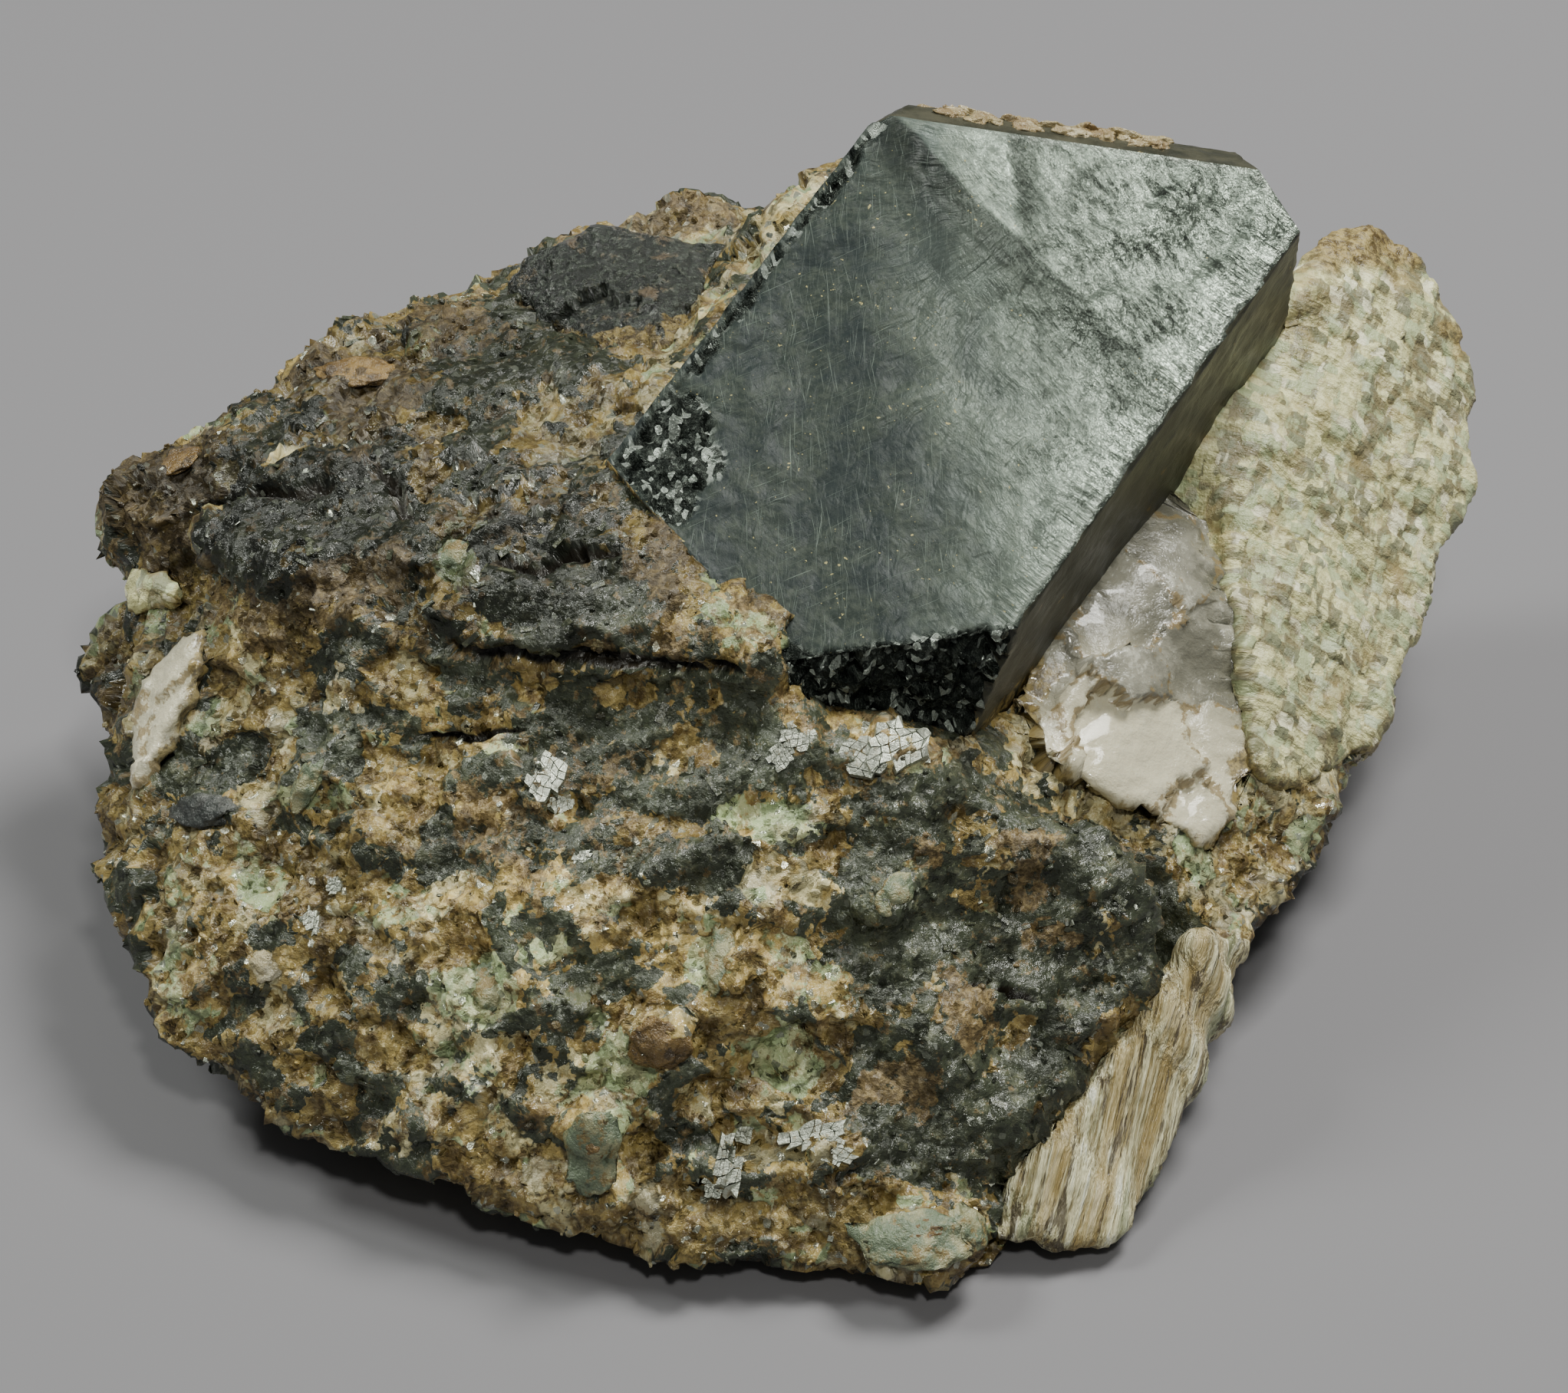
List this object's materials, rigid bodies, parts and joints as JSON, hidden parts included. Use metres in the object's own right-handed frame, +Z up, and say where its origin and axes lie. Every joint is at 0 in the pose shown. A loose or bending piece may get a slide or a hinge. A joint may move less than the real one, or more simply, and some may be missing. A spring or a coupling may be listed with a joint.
{
  "type": "allanite crystal specimen in matrix",
  "caption": "Hand-sized mineral specimen: a thick dark allanite blade standing out of coarse brown and green rock, with pale feldspar and quartz beside it.",
  "frame": {"origin": "on the flat rest face, under the middle of the specimen's outline", "axes": "+Z up from the rest face, +X along the specimen's front towards the feldspar slab, +Y from the front towards the back"},
  "size_m": [0.0899, 0.0704, 0.0434],
  "materials": {
    "allanite": "satin, near-metallic dark blue-grey with fine pale scratches",
    "rock": "coarse, glittering brown, ochre and green-black grains",
    "feldspar": "cream to pale green, blocky cleavage",
    "quartz": "milky grey to pinkish white, glassy",
    "tremolite": "silky, striated pale green and cream fibres"
  },
  "bodies": {
    "root": {"matrix_rock": "rock", "allanite_crystal": "allanite", "allanite_crystal_small": "allanite", "feldspar_slab": "feldspar", "feldspar_chip": "feldspar", "milky_quartz": "quartz", "quartz_lens": "quartz", "fibrous_tremolite": "tremolite"}
  },
  "joints": []
}
